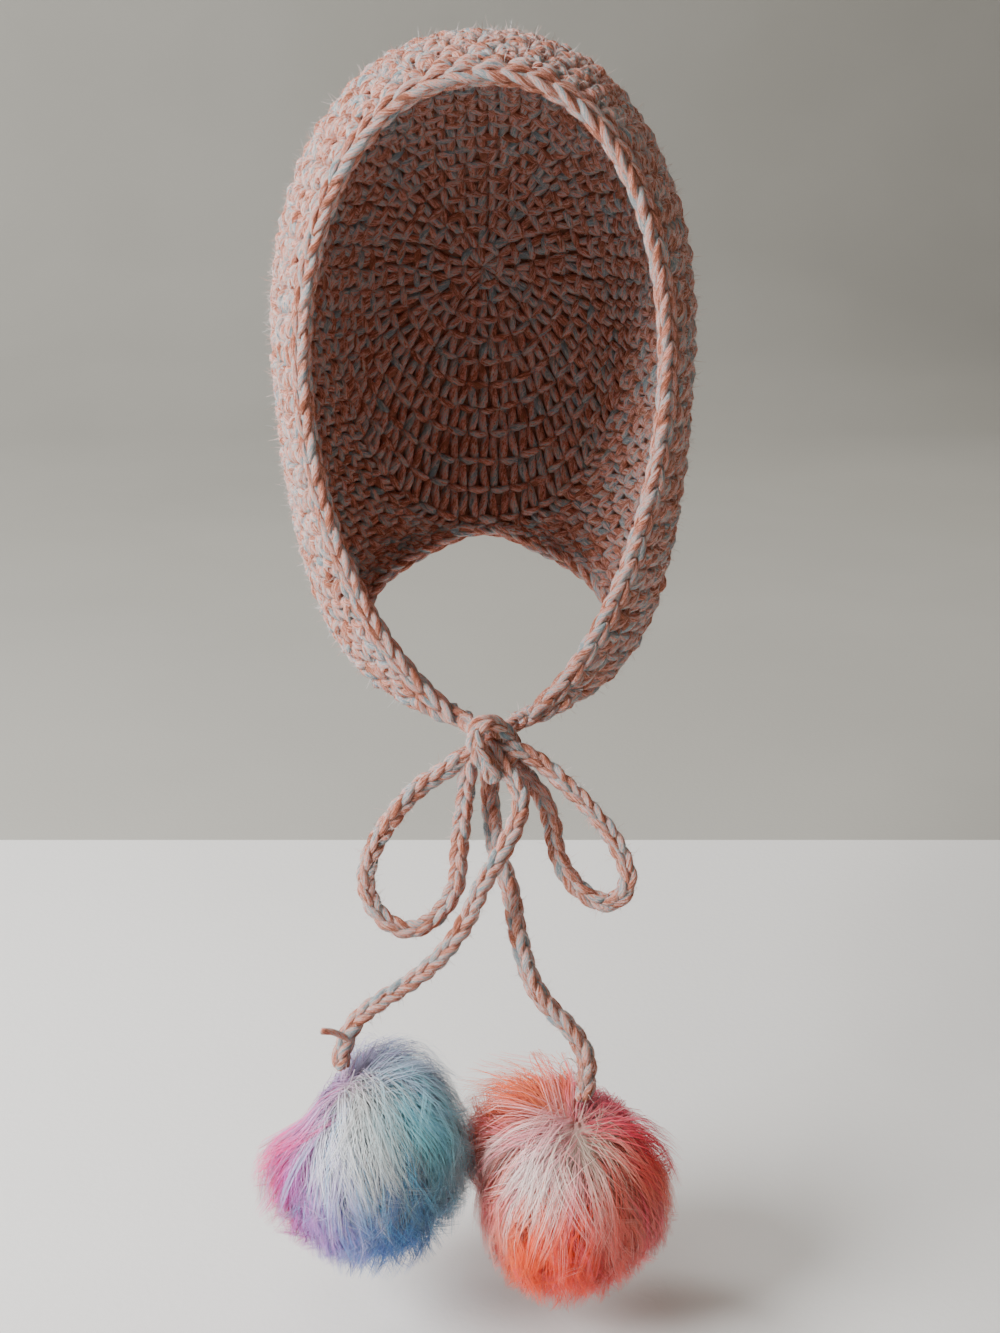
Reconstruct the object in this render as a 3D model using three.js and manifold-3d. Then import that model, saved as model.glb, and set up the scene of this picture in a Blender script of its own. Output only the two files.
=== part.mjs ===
// A crochet bonnet: a hollow knitted hood, a chain-stitch edge round its face opening,
// and two cord ties in a bow whose tails end in fur pompoms.
// Millimetres, +Z up, the face opening towards -Y, the origin where the crown rests on the head.

import * as THREE from 'three';
import { mergeVertices } from 'three/addons/utils/BufferGeometryUtils.js';
import Module from 'manifold-3d';

const wasm = await Module();
wasm.setup();

// Driving dimensions of the hood, measured over its outside.
const HOOD_WIDTH = 174;
const HOOD_HEIGHT = 269;
const HOOD_DEPTH = 158;
const FACE_WIDTH = 150;
const NECK_WIDTH = 112;
const THROAT_GAP = 33;
const THROAT_PULL = 5;
const CROWN_LEAN = 4;
const CROWN_FULLNESS = 0.88;
const WALL = 6;

// The chain-stitch edge round the face opening.
const EDGE_WIDTH = 7.5;
const EDGE_THICKNESS = 8;

// The ties and what is on them.
const CORD_DIAMETER = 8.2;
const KNOT_WIDTH = 20;
const KNOT_DEPTH = 16;
const KNOT_HEIGHT = 27;
const POMPOM_CORE = 62;
const POMPOM_WIDTH = 80;
const POMPOM_HEIGHT = 102;

// A lock of fur: its width, where its root and its widest part lie as shares of the fur's reach,
// how far its tip hangs, and the angle round the cord that stays free of locks.
const LOCK_WIDTH = 19;
const LOCK_ROOT = 0.6;
const LOCK_BELLY = 0.8;
const LOCK_DROOP = 0.25;
const CORD_ROOM = 0.55;

// Two pieces that meet keep this much air between them.
const CLEARANCE = 0.3;

// Faceting.
const COLUMNS = 56;
const LAYERS = 22;
const CORD_SIDES = 10;
const CORD_STEP = 9;
const LOCK_SIDES = 5;
const LOCK_RINGS = 7;

const COLOURS = { yarn: 0xc99a8c, edging: 0xcda294, cord: 0xc79c90, cool: 0xb9b4d6, warm: 0xf0a096 };

// The hood's sections, from the middle of the back (reach 0) to the rim of the face opening
// (reach 1). Each is an arch from its top over the side to its end at the back seam or neckline.
// Y is a share of the hood's depth, Z a share of its height below the crown, the side is a share
// of the half width over the ears plus one of the face, and the end a share of the half neck
// width plus one of the throat gap. Pinch draws the lower half of an arch in.
const SECTIONS = [
  { reach: 0.000, topY: 0.614, topZ: 0.351, ears: 0.00, face: 0.00, sideY: 0.614, sideZ: 0.351,
    neck: 0.00, throat: 0, endY: 0.614, endZ: 0.351, pinch: 1.00 },
  { reach: 0.144, topY: 0.589, topZ: 0.228, ears: 0.36, face: 0.00, sideY: 0.589, sideZ: 0.358,
    neck: 0.00, throat: 0, endY: 0.589, endZ: 0.474, pinch: 1.00 },
  { reach: 0.274, topY: 0.506, topZ: 0.134, ears: 0.66, face: 0.00, sideY: 0.519, sideZ: 0.373,
    neck: 0.00, throat: 0, endY: 0.525, endZ: 0.620, pinch: 0.95 },
  { reach: 0.405, topY: 0.380, topZ: 0.064, ears: 0.85, face: 0.00, sideY: 0.392, sideZ: 0.395,
    neck: 0.00, throat: 0, endY: 0.392, endZ: 0.790, pinch: 0.90 },
  { reach: 0.544, topY: 0.209, topZ: 0.018, ears: 0.955, face: 0.00, sideY: 0.228, sideZ: 0.414,
    neck: 0.50, throat: 0, endY: 0.340, endZ: 0.825, pinch: 0.85 },
  { reach: 0.677, topY: 0.032, topZ: 0.000, ears: 1.00, face: 0.00, sideY: 0.063, sideZ: 0.430,
    neck: 0.92, throat: 0, endY: 0.190, endZ: 0.870, pinch: 0.85 },
  { reach: 0.802, topY: -0.126, topZ: 0.009, ears: 0.80, face: 0.20, sideY: -0.089, sideZ: 0.445,
    neck: 1.00, throat: 0, endY: 0.000, endZ: 0.928, pinch: 0.90 },
  { reach: 0.907, topY: -0.240, topZ: 0.028, ears: 0.42, face: 0.58, sideY: -0.196, sideZ: 0.458,
    neck: 0.68, throat: 0, endY: -0.170, endZ: 0.982, pinch: 1.10 },
  { reach: 1.000, topY: -0.326, topZ: 0.049, ears: 0.00, face: 1.00, sideY: -0.272, sideZ: 0.462,
    neck: 0.00, throat: 1, endY: -0.290, endZ: 1.000, pinch: 1.45 },
];

// The section whose end is the nape: behind it an arch closes on the back seam.
const NAPE_SECTION = 3;

// The routes of the cords, in the order in which the cord runs.
const CORD_ROUTES = {
  tie_lead_left: [[-7.9, -48.1, -260.1], [-6.5, -48.7, -261], [-4.4, -51.2, -262.3], [-2.4, -53.4, -263.3]],
  tie_lead_right: [[17.7, -48.1, -260], [15.8, -48.8, -261.2], [12.8, -51.6, -262.7], [10, -54.4, -263.9]],
  bow_loop_left: [[-7, -65.2, -270.6], [-14, -68, -275.5], [-22, -70, -280], [-31, -75, -287],
    [-39, -79, -297], [-44, -83, -306], [-46, -86, -316], [-43.5, -88, -326], [-37, -90, -333],
    [-29, -90.5, -336], [-21, -89.5, -333.5], [-14, -87, -327], [-9.5, -84, -318],
    [-8.5, -79, -307], [-7.5, -75, -297], [-6, -71, -286.5], [-4.9, -67.6, -277.7]],
  bow_loop_right: [[13.8, -65.9, -266.9], [23, -66.5, -271.5], [33, -70, -279], [43, -74, -288],
    [52, -78, -298], [58, -82, -308], [60, -85, -316.5], [56.5, -87, -323.5], [49.5, -87, -325.5],
    [41, -85, -321], [34.5, -81, -314], [31, -77, -306], [29.5, -73, -297], [26, -68, -288.5],
    [20.5, -63.5, -282], [13.2, -58.9, -275.3]],
  tie_tail_left: [[9.6, -70.9, -273.2], [15.5, -76, -280], [16.5, -80, -286], [14, -85, -293],
    [10, -89, -300], [5.5, -92, -307], [1, -95, -314], [-2, -97, -321], [-6, -99, -329],
    [-13, -101, -339], [-21, -103, -347], [-30, -104, -354], [-38, -105, -359], [-46, -106, -365],
    [-52, -107, -372], [-55, -109, -380], [-56.6, -110.8, -386.4]],
  tie_tail_right: [[4, -55.6, -282], [4, -59.5, -289], [4.5, -63, -295], [5.5, -68, -302],
    [7, -73, -309.5], [10, -77, -316.5], [12.5, -81, -323.5], [14, -86, -330.5],
    [15.5, -91, -337.5], [17.5, -95, -344.5], [20, -98, -352], [24, -101, -359.5],
    [29, -103, -365.5], [35, -105, -371], [40, -107, -377.5], [43, -109, -384.5],
    [43.5, -111, -392], [42.6, -112.5, -400.7]],
};

// Where the knot and the pompoms hang.
const KNOT_PLACE = [3, -61, -267];
const POMPOM_PLACES = {
  pompom_left: [-43.5, -112, -425],
  pompom_right: [38.5, -114, -440],
};

const group = new THREE.Group();

function addMesh(name, geometry, colour, roughness) {
  const material = new THREE.MeshStandardMaterial({ color: colour, roughness, metalness: 0 });
  const mesh = new THREE.Mesh(geometry, material);
  mesh.name = name;
  group.add(mesh);
}

// A closed surface from a list of points and a list of triangles.
function geometryOf(points, triangles) {
  const geometry = new THREE.BufferGeometry();
  geometry.setAttribute('position', new THREE.Float32BufferAttribute(points.flatMap((p) => p.toArray()), 3));
  geometry.setIndex(triangles.flat());
  return geometry;
}

// Only the positions matter for a solid, so that shared corners are one vertex.
function toManifold(geometry) {
  const bare = geometry.clone();
  bare.deleteAttribute('normal');
  bare.deleteAttribute('uv');
  const merged = mergeVertices(bare, 1e-4);
  return new wasm.Manifold(new wasm.Mesh({
    numProp: 3,
    vertProperties: new Float32Array(merged.attributes.position.array),
    triVerts: new Uint32Array(merged.index.array),
  }));
}

function fromManifold(solid) {
  const mesh = solid.getMesh();
  const geometry = new THREE.BufferGeometry();
  geometry.setAttribute('position', new THREE.Float32BufferAttribute(mesh.vertProperties, 3));
  geometry.setIndex(new THREE.Uint32BufferAttribute(mesh.triVerts, 1));
  return geometry;
}

function fuse(geometries) {
  const solids = geometries.map(toManifold);
  return solids.slice(1).reduce((whole, next) => whole.add(next), solids[0]);
}

// A smooth curve through rows of numbers: value(key, reach) between them, with the slope at
// each row taken from its neighbours.
function smoothTable(rows) {
  const slope = (key, i) => {
    const a = rows[Math.max(i - 1, 0)];
    const b = rows[Math.min(i + 1, rows.length - 1)];
    return (b[key] - a[key]) / (b.reach - a.reach);
  };
  return (key, reach) => {
    let i = rows.findIndex((row) => row.reach > reach) - 1;
    if (i < 0) {
      i = rows.length - 2;
    }
    const span = rows[i + 1].reach - rows[i].reach;
    const t = (reach - rows[i].reach) / span;
    const rise = t * t * (3 - 2 * t);
    const start = t * (1 - t) * (1 - t) * span * slope(key, i);
    const finish = t * t * (t - 1) * span * slope(key, i + 1);
    return rows[i][key] + (rows[i + 1][key] - rows[i][key]) * rise + start + finish;
  };
}

// A section in millimetres.
function sized(row) {
  return {
    reach: row.reach,
    topY: row.topY * HOOD_DEPTH,
    topZ: WALL - row.topZ * HOOD_HEIGHT,
    sideX: (row.ears * HOOD_WIDTH + row.face * FACE_WIDTH) / 2,
    sideY: row.sideY * HOOD_DEPTH,
    sideZ: WALL - row.sideZ * HOOD_HEIGHT,
    endX: (row.neck * NECK_WIDTH + row.throat * THROAT_GAP) / 2,
    endY: row.endY * HOOD_DEPTH,
    endZ: WALL - row.endZ * HOOD_HEIGHT,
    pinch: row.pinch,
  };
}

// The same section met from the other side of the middle of the back.
function turned(row) {
  return {
    ...row,
    reach: -row.reach,
    topY: row.endY,
    topZ: row.endZ,
    sideX: -row.sideX,
    endY: row.topY,
    endZ: row.topZ,
  };
}

const sections = SECTIONS.map(sized);
const nape = sections[NAPE_SECTION];
const pastNape = sections[NAPE_SECTION + 1];
const arch = smoothTable([turned(sections[1]), ...sections]);
const backSeam = smoothTable([turned(sections[1]), ...sections.slice(0, NAPE_SECTION + 1)]);
const neckline = smoothTable([
  { ...pastNape, reach: 2 * nape.reach - pastNape.reach, endX: -pastNape.endX },
  ...sections.slice(NAPE_SECTION),
]);

// A point on the right half of an arch; turn runs from 0 at the top over 1 at the side to 2.
function archPoint(reach, turn) {
  const end = reach > nape.reach ? neckline : backSeam;
  const sideX = arch('sideX', reach);
  const sideY = arch('sideY', reach);
  const sideZ = arch('sideZ', reach);
  if (turn <= 1) {
    const angle = turn * Math.PI / 2;
    const fore = Math.cos(angle) ** 2;
    return new THREE.Vector3(
      sideX * Math.sin(angle) ** CROWN_FULLNESS,
      sideY + (arch('topY', reach) - sideY) * fore,
      sideZ + (arch('topZ', reach) - sideZ) * Math.cos(angle),
    );
  }
  const angle = (turn - 1) * Math.PI / 2;
  const low = Math.sin(angle) ** 2;
  const endX = end('endX', reach);
  const narrowing = Math.max(Math.cos(angle), 0) ** arch('pinch', reach);
  return new THREE.Vector3(
    endX + (sideX - endX) * narrowing,
    sideY + (end('endY', reach) - sideY) * low,
    sideZ + (end('endZ', reach) - sideZ) * Math.sin(angle),
  );
}

// Points at even distances along the right half of an arch.
function archRow(reach, count) {
  const fine = 8 * count;
  const trace = Array.from({ length: fine + 1 }, (_, i) => archPoint(reach, 2 * i / fine));
  const lengths = [0];
  for (let i = 1; i <= fine; i += 1) {
    lengths.push(lengths[i - 1] + trace[i].distanceTo(trace[i - 1]));
  }
  const row = [];
  let at = 1;
  for (let i = 0; i <= count; i += 1) {
    const wanted = lengths[fine] * i / count;
    while (at < fine && lengths[at] < wanted) {
      at += 1;
    }
    const share = (wanted - lengths[at - 1]) / (lengths[at] - lengths[at - 1]);
    row.push(trace[at - 1].clone().lerp(trace[at], share));
  }
  return row;
}

// The hood's outside as rows of points from the left end of each arch to the right one.
const half = COLUMNS / 2;
const grid = [];
for (let layer = 1; layer <= LAYERS; layer += 1) {
  const stretch = layer <= NAPE_SECTION * 2 + 1
    ? nape.reach * layer / (NAPE_SECTION * 2 + 1)
    : nape.reach + (1 - nape.reach) * (layer - NAPE_SECTION * 2 - 1) / (LAYERS - NAPE_SECTION * 2 - 1);
  const right = archRow(stretch, half);
  const left = right.slice(1).reverse().map((p) => new THREE.Vector3(-p.x, p.y, p.z));
  const row = [...left, ...right];
  row.forEach((p, i) => {
    const share = Math.abs(i - half) / half;
    p.x += THROAT_PULL * (share * stretch) ** 2 + CROWN_LEAN * ((1 - share) * stretch) ** 2;
  });
  grid.push(row);
}
const napeLayer = NAPE_SECTION * 2;
const backMiddle = new THREE.Vector3(0, sections[0].topY, sections[0].topZ);

// The direction out of the wall at each point of the grid.
function outward(layer, column) {
  const closed = layer <= napeLayer;
  const before = closed && column === 0 ? COLUMNS - 1 : Math.max(column - 1, 0);
  const after = closed && column === COLUMNS ? 1 : Math.min(column + 1, COLUMNS);
  const along = grid[layer][after].clone().sub(grid[layer][before]);
  const behind = layer === 0 ? backMiddle : grid[layer - 1][column];
  const ahead = grid[Math.min(layer + 1, LAYERS - 1)][column];
  return ahead.clone().sub(behind).cross(along).normalize();
}

const normals = grid.map((row, layer) => row.map((_, column) => outward(layer, column)));
const lining = grid.map((row, layer) => row.map((p, i) => p.clone().addScaledVector(normals[layer][i], -WALL)));

// The hood: outside and lining joined by the rim of the face opening and the neckline.
function hood() {
  const points = [];
  const place = (p) => points.push(p) - 1;
  const skins = [
    { middle: place(backMiddle), rows: grid.map((row) => row.map(place)) },
    {
      middle: place(backMiddle.clone().add(new THREE.Vector3(0, -WALL, 0))),
      rows: lining.map((row) => row.map(place)),
    },
  ];
  for (const skin of skins) {
    for (let layer = 0; layer <= napeLayer; layer += 1) {
      skin.rows[layer][COLUMNS] = skin.rows[layer][0];
    }
  }
  const triangles = [];
  const quad = (a, b, c, d) => triangles.push([a, c, b], [a, d, c]);
  const [outer, inner] = skins;
  for (let i = 0; i < COLUMNS; i += 1) {
    triangles.push([outer.middle, outer.rows[0][i], outer.rows[0][i + 1]]);
    triangles.push([inner.middle, inner.rows[0][i + 1], inner.rows[0][i]]);
    for (let layer = 1; layer < LAYERS; layer += 1) {
      const [o, p] = [outer.rows[layer - 1], outer.rows[layer]];
      const [q, r] = [inner.rows[layer - 1], inner.rows[layer]];
      quad(o[i], o[i + 1], p[i + 1], p[i]);
      quad(q[i], r[i], r[i + 1], q[i + 1]);
    }
    const [last, lined] = [outer.rows[LAYERS - 1], inner.rows[LAYERS - 1]];
    quad(last[i + 1], lined[i + 1], lined[i], last[i]);
  }
  for (let layer = napeLayer + 1; layer < LAYERS; layer += 1) {
    const [o, p] = [outer.rows[layer - 1], outer.rows[layer]];
    const [q, r] = [inner.rows[layer - 1], inner.rows[layer]];
    quad(o[0], p[0], r[0], q[0]);
    quad(o[COLUMNS], q[COLUMNS], r[COLUMNS], p[COLUMNS]);
  }
  return geometryOf(points, triangles);
}

// The chain-stitch edge: a rounded strip whose flat side faces the hood's rim.
function faceEdge() {
  const flat = EDGE_THICKNESS * 0.3;
  const bulge = EDGE_THICKNESS / 2;
  const profile = [
    [0, -flat], [0, flat], [0.25, bulge], [0.7, bulge], [1, flat], [1, -flat], [0.7, -bulge], [0.25, -bulge],
  ];
  const points = [];
  const last = LAYERS - 1;
  for (let i = 0; i <= COLUMNS; i += 1) {
    const out = normals[last][i];
    const along = grid[last][Math.min(i + 1, COLUMNS)].clone().sub(grid[last][Math.max(i - 1, 0)]);
    const ahead = along.cross(out).normalize();
    const middle = grid[last][i].clone().addScaledVector(out, -WALL / 2);
    for (const [forward, up] of profile) {
      const reach = CLEARANCE + forward * EDGE_WIDTH;
      points.push(middle.clone().addScaledVector(ahead, reach).addScaledVector(out, up));
    }
  }
  const sides = profile.length;
  const triangles = [];
  for (let i = 0; i < COLUMNS; i += 1) {
    for (let k = 0; k < sides; k += 1) {
      const next = (k + 1) % sides;
      const [a, b] = [i * sides + k, i * sides + next];
      triangles.push([a, b + sides, a + sides], [a, b, b + sides]);
    }
  }
  for (let k = 1; k < sides - 1; k += 1) {
    const end = COLUMNS * sides;
    triangles.push([0, k + 1, k], [end, end + k, end + k + 1]);
  }
  return geometryOf(points, triangles);
}

function vectors(list) {
  return list.map((p) => new THREE.Vector3(...p));
}

// A tube of a cord's section along a smooth curve.
function tube(points, radius) {
  const curve = new THREE.CatmullRomCurve3(vectors(points), false, 'centripetal');
  const corners = Array.from({ length: CORD_SIDES }, (_, i) => {
    const angle = 2 * Math.PI * i / CORD_SIDES;
    return new THREE.Vector2(radius * Math.cos(angle), radius * Math.sin(angle));
  });
  const steps = Math.max(2, Math.round(curve.getLength() / CORD_STEP));
  return new THREE.ExtrudeGeometry(new THREE.Shape(corners), { extrudePath: curve, steps });
}

// The knot: a rounded core under the strand that is wound round it and ends in a short tongue.
function bowKnot() {
  const core = new THREE.SphereGeometry(1, 14, 10);
  core.scale(KNOT_WIDTH / 2, KNOT_DEPTH / 2, KNOT_HEIGHT / 2);
  const strand = CORD_DIAMETER / 2;
  const side = KNOT_WIDTH / 2 - strand * 0.8;
  const front = -KNOT_DEPTH / 2;
  const wrap = tube([
    [side, front * 0.2, KNOT_HEIGHT * 0.20], [side * 0.2, front * 0.7, KNOT_HEIGHT * 0.33],
    [-side * 0.7, front * 0.9, KNOT_HEIGHT * 0.18], [-side * 0.55, front, -KNOT_HEIGHT * 0.12],
    [side * 0.15, front * 0.95, -KNOT_HEIGHT * 0.4], [side * 0.5, front * 0.75, -KNOT_HEIGHT * 0.62],
  ], strand * 0.9);
  const whole = fuse([core, wrap]);
  const geometry = fromManifold(whole);
  geometry.translate(...KNOT_PLACE);
  return geometry;
}

// The distance from a pompom's middle to the tips of its fur along a direction.
function furReach(direction) {
  const flat = Math.hypot(direction.x, direction.y);
  return 1 / Math.hypot(flat / (POMPOM_WIDTH / 2), direction.z / (POMPOM_HEIGHT / 2));
}

// A lock of fur: a blunt leaf that leaves the ball along a direction and hangs towards its tip.
function lock(direction) {
  const reach = furReach(direction);
  const root = direction.clone().multiplyScalar(reach * LOCK_ROOT);
  const hanging = direction.clone().add(new THREE.Vector3(0, 0, -LOCK_DROOP)).normalize();
  const tip = hanging.clone().multiplyScalar(furReach(hanging));
  const belly = direction.clone().lerp(hanging, 0.4).normalize().multiplyScalar(reach * LOCK_BELLY);
  const across = new THREE.Vector3(0, 0, 1).cross(direction).normalize();
  const upward = direction.clone().cross(across);
  const points = [];
  for (let k = 0; k < LOCK_SIDES; k += 1) {
    const angle = 2 * Math.PI * k / LOCK_SIDES;
    const offset = across.clone().multiplyScalar(Math.cos(angle)).addScaledVector(upward, Math.sin(angle));
    offset.multiplyScalar(LOCK_WIDTH / 2);
    points.push(root.clone().add(offset), belly.clone().add(offset));
  }
  const [start, end] = [points.push(root) - 1, points.push(tip) - 1];
  const triangles = [];
  for (let k = 0; k < LOCK_SIDES; k += 1) {
    const [a, b] = [2 * k, 2 * ((k + 1) % LOCK_SIDES)];
    triangles.push([start, b, a], [a, b, b + 1], [a, b + 1, a + 1], [a + 1, b + 1, end]);
  }
  return geometryOf(points, triangles);
}

// A pompom: rings of locks round a ball, open at the top where the cord goes in.
function pompom(place, cordEnd) {
  const ball = new THREE.IcosahedronGeometry(1, 2);
  ball.scale(POMPOM_CORE / 2, POMPOM_CORE / 2, POMPOM_CORE / 2 * POMPOM_HEIGHT / POMPOM_WIDTH);
  const entry = new THREE.Vector3(...cordEnd).sub(new THREE.Vector3(...place)).normalize();
  const locks = [];
  for (let ring = 0; ring < LOCK_RINGS; ring += 1) {
    const polar = Math.PI * (ring + 0.5) / LOCK_RINGS;
    const count = Math.round(Math.PI * Math.sin(polar) * POMPOM_CORE / LOCK_WIDTH);
    for (let i = 0; i < count; i += 1) {
      const angle = 2 * Math.PI * (i + ring * 0.37) / count;
      const direction = new THREE.Vector3().setFromSphericalCoords(1, polar, angle);
      direction.set(direction.z, direction.x, direction.y);
      if (direction.angleTo(entry) > CORD_ROOM) {
        locks.push(lock(direction));
      }
    }
  }
  const geometry = fromManifold(fuse([ball, ...locks]));
  geometry.translate(...place);
  return geometry;
}

addMesh('hood', hood(), COLOURS.yarn, 0.95);
addMesh('face_edge', faceEdge(), COLOURS.edging, 0.95);
addMesh('bow_knot', bowKnot(), COLOURS.cord, 0.95);
for (const [name, route] of Object.entries(CORD_ROUTES)) {
  addMesh(name, tube(route, CORD_DIAMETER / 2), COLOURS.cord, 0.95);
}
addMesh('pompom_left', pompom(POMPOM_PLACES.pompom_left, CORD_ROUTES.tie_tail_left.at(-1)), COLOURS.cool, 0.7);
addMesh('pompom_right', pompom(POMPOM_PLACES.pompom_right, CORD_ROUTES.tie_tail_right.at(-1)), COLOURS.warm, 0.7);

export default group;
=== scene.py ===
import math

import bpy
import numpy as np
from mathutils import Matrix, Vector


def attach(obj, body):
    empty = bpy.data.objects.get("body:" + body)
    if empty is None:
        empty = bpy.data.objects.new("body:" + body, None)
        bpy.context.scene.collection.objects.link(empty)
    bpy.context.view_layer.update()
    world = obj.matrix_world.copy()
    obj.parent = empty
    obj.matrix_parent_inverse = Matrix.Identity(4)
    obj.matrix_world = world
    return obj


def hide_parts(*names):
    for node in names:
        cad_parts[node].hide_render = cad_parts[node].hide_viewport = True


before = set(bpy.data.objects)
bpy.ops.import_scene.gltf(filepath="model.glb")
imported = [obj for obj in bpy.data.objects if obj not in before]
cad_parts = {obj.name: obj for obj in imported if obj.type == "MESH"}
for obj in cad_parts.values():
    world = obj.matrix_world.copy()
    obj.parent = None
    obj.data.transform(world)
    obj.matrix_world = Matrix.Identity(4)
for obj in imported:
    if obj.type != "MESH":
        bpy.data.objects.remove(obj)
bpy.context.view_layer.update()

rng = np.random.default_rng(7)
MM = 0.001

# The photograph's frame and its camera: 19 degrees down, 0.63 m in front of the crown.
PHOTO_HEIGHT_PX = 1333
FOCAL_PX = 1500
SENSOR_MM = 36
CAMERA_PLACE = (0.0082, -0.631, -0.037)
CAMERA_DOWN_DEG = 19

# The hood's driving sizes in metres, as in the solids.
HOOD_WIDTH, HOOD_HEIGHT, HOOD_DEPTH = 0.174, 0.269, 0.158
FACE_WIDTH, NECK_WIDTH, THROAT_GAP = 0.150, 0.112, 0.033
THROAT_PULL, CROWN_LEAN, CROWN_FULLNESS = 0.005, 0.004, 0.88
WALL = 0.006
EDGE_WIDTH = 0.0075
NAPE_SECTION = 3

# The hood's sections from the middle of the back to the rim, as shares of its sizes.
SECTION_KEYS = ("reach", "top_y", "top_z", "ears", "face", "side_y", "side_z",
                "neck", "throat", "end_y", "end_z", "pinch")
SECTIONS = [
    (0.000, 0.614, 0.351, 0.000, 0.00, 0.614, 0.351, 0.00, 0, 0.614, 0.351, 1.00),
    (0.144, 0.589, 0.228, 0.360, 0.00, 0.589, 0.358, 0.00, 0, 0.589, 0.474, 1.00),
    (0.274, 0.506, 0.134, 0.660, 0.00, 0.519, 0.373, 0.00, 0, 0.525, 0.620, 0.95),
    (0.405, 0.380, 0.064, 0.850, 0.00, 0.392, 0.395, 0.00, 0, 0.392, 0.790, 0.90),
    (0.544, 0.209, 0.018, 0.955, 0.00, 0.228, 0.414, 0.50, 0, 0.340, 0.825, 0.85),
    (0.677, 0.032, 0.000, 1.000, 0.00, 0.063, 0.430, 0.92, 0, 0.190, 0.870, 0.85),
    (0.802, -0.126, 0.009, 0.800, 0.20, -0.089, 0.445, 1.00, 0, 0.000, 0.928, 0.90),
    (0.907, -0.240, 0.028, 0.420, 0.58, -0.196, 0.458, 0.68, 0, -0.170, 0.982, 1.10),
    (1.000, -0.326, 0.049, 0.000, 1.00, -0.272, 0.462, 0.00, 1, -0.290, 1.000, 1.45),
]

# The routes of the cords in millimetres, as in the solids, and the stretches inside the knot.
LEAD_LEFT = [(-7.9, -48.1, -260.1), (-6.5, -48.7, -261), (-4.4, -51.2, -262.3), (-2.4, -53.4, -263.3)]
LEAD_RIGHT = [(17.7, -48.1, -260), (15.8, -48.8, -261.2), (12.8, -51.6, -262.7), (10, -54.4, -263.9)]
LOOP_LEFT = [
    (-7, -65.2, -270.6), (-14, -68, -275.5), (-22, -70, -280), (-31, -75, -287), (-39, -79, -297),
    (-44, -83, -306), (-46, -86, -316), (-43.5, -88, -326), (-37, -90, -333), (-29, -90.5, -336),
    (-21, -89.5, -333.5), (-14, -87, -327), (-9.5, -84, -318), (-8.5, -79, -307), (-7.5, -75, -297),
    (-6, -71, -286.5), (-4.9, -67.6, -277.7)]
LOOP_RIGHT = [
    (13.8, -65.9, -266.9), (23, -66.5, -271.5), (33, -70, -279), (43, -74, -288), (52, -78, -298),
    (58, -82, -308), (60, -85, -316.5), (56.5, -87, -323.5), (49.5, -87, -325.5), (41, -85, -321),
    (34.5, -81, -314), (31, -77, -306), (29.5, -73, -297), (26, -68, -288.5), (20.5, -63.5, -282),
    (13.2, -58.9, -275.3)]
TAIL_LEFT = [
    (9.6, -70.9, -273.2), (15.5, -76, -280), (16.5, -80, -286), (14, -85, -293), (10, -89, -300),
    (5.5, -92, -307), (1, -95, -314), (-2, -97, -321), (-6, -99, -329), (-13, -101, -339),
    (-21, -103, -347), (-30, -104, -354), (-38, -105, -359), (-46, -106, -365), (-52, -107, -372),
    (-55, -109, -380), (-56.6, -110.8, -386.4)]
TAIL_RIGHT = [
    (4, -55.6, -282), (4, -59.5, -289), (4.5, -63, -295), (5.5, -68, -302), (7, -73, -309.5),
    (10, -77, -316.5), (12.5, -81, -323.5), (14, -86, -330.5), (15.5, -91, -337.5),
    (17.5, -95, -344.5), (20, -98, -352), (24, -101, -359.5), (29, -103, -365.5), (35, -105, -371),
    (40, -107, -377.5), (43, -109, -384.5), (43.5, -111, -392), (42.6, -112.5, -400.7)]
IN_KNOT_LEFT = [(0.6, -56.8, -264.9), (1.4, -60.6, -266.9), (-1.4, -63.8, -268.9)]
THROUGH_KNOT_LEFT = [(-3.9, -65.6, -271.2), (0, -65, -266.9), (5.4, -66.6, -267.2)]
IN_KNOT_RIGHT = [(8, -57.4, -264.7), (7.9, -61.6, -265.4), (10.2, -64.8, -266)]
THROUGH_KNOT_RIGHT = [(9.7, -57, -272.2), (6, -55.4, -273), (4.2, -54.8, -277)]
ROUTE_LEFT = LEAD_LEFT + IN_KNOT_LEFT + LOOP_LEFT + THROUGH_KNOT_LEFT + TAIL_LEFT
ROUTE_RIGHT = LEAD_RIGHT + IN_KNOT_RIGHT + LOOP_RIGHT + THROUGH_KNOT_RIGHT + TAIL_RIGHT

# The gathered corners of the neckline, and two small strands at the tails.
THROAT_CORNERS = [
    [(-26, -44.2, -253.5), (-20, -44.9, -256.9), (-14, -46.3, -259.2), (-8, -48.1, -260.3),
     (-6.3, -48.9, -261.2)],
    [(36, -44.2, -252.8), (30.5, -44.8, -256.3), (24, -46.2, -259), (18, -48.1, -260.3),
     (15.6, -49, -261.4)]]
YARN_END = [(-52.1, -109.6, -375.1), (-55.0, -111.6, -372.2), (-58.6, -113.4, -369.2),
            (-62.6, -115.6, -367.4)]
CLEAR_LOOP = [(34.6, -116, -389.4), (32.1, -118, -381.9), (35.1, -120, -376.9), (39.3, -118, -381.9),
              (37.9, -116, -389.8)]
YARN_END_RADIUS, CLEAR_LOOP_RADIUS = 0.0014, 0.0003


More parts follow.
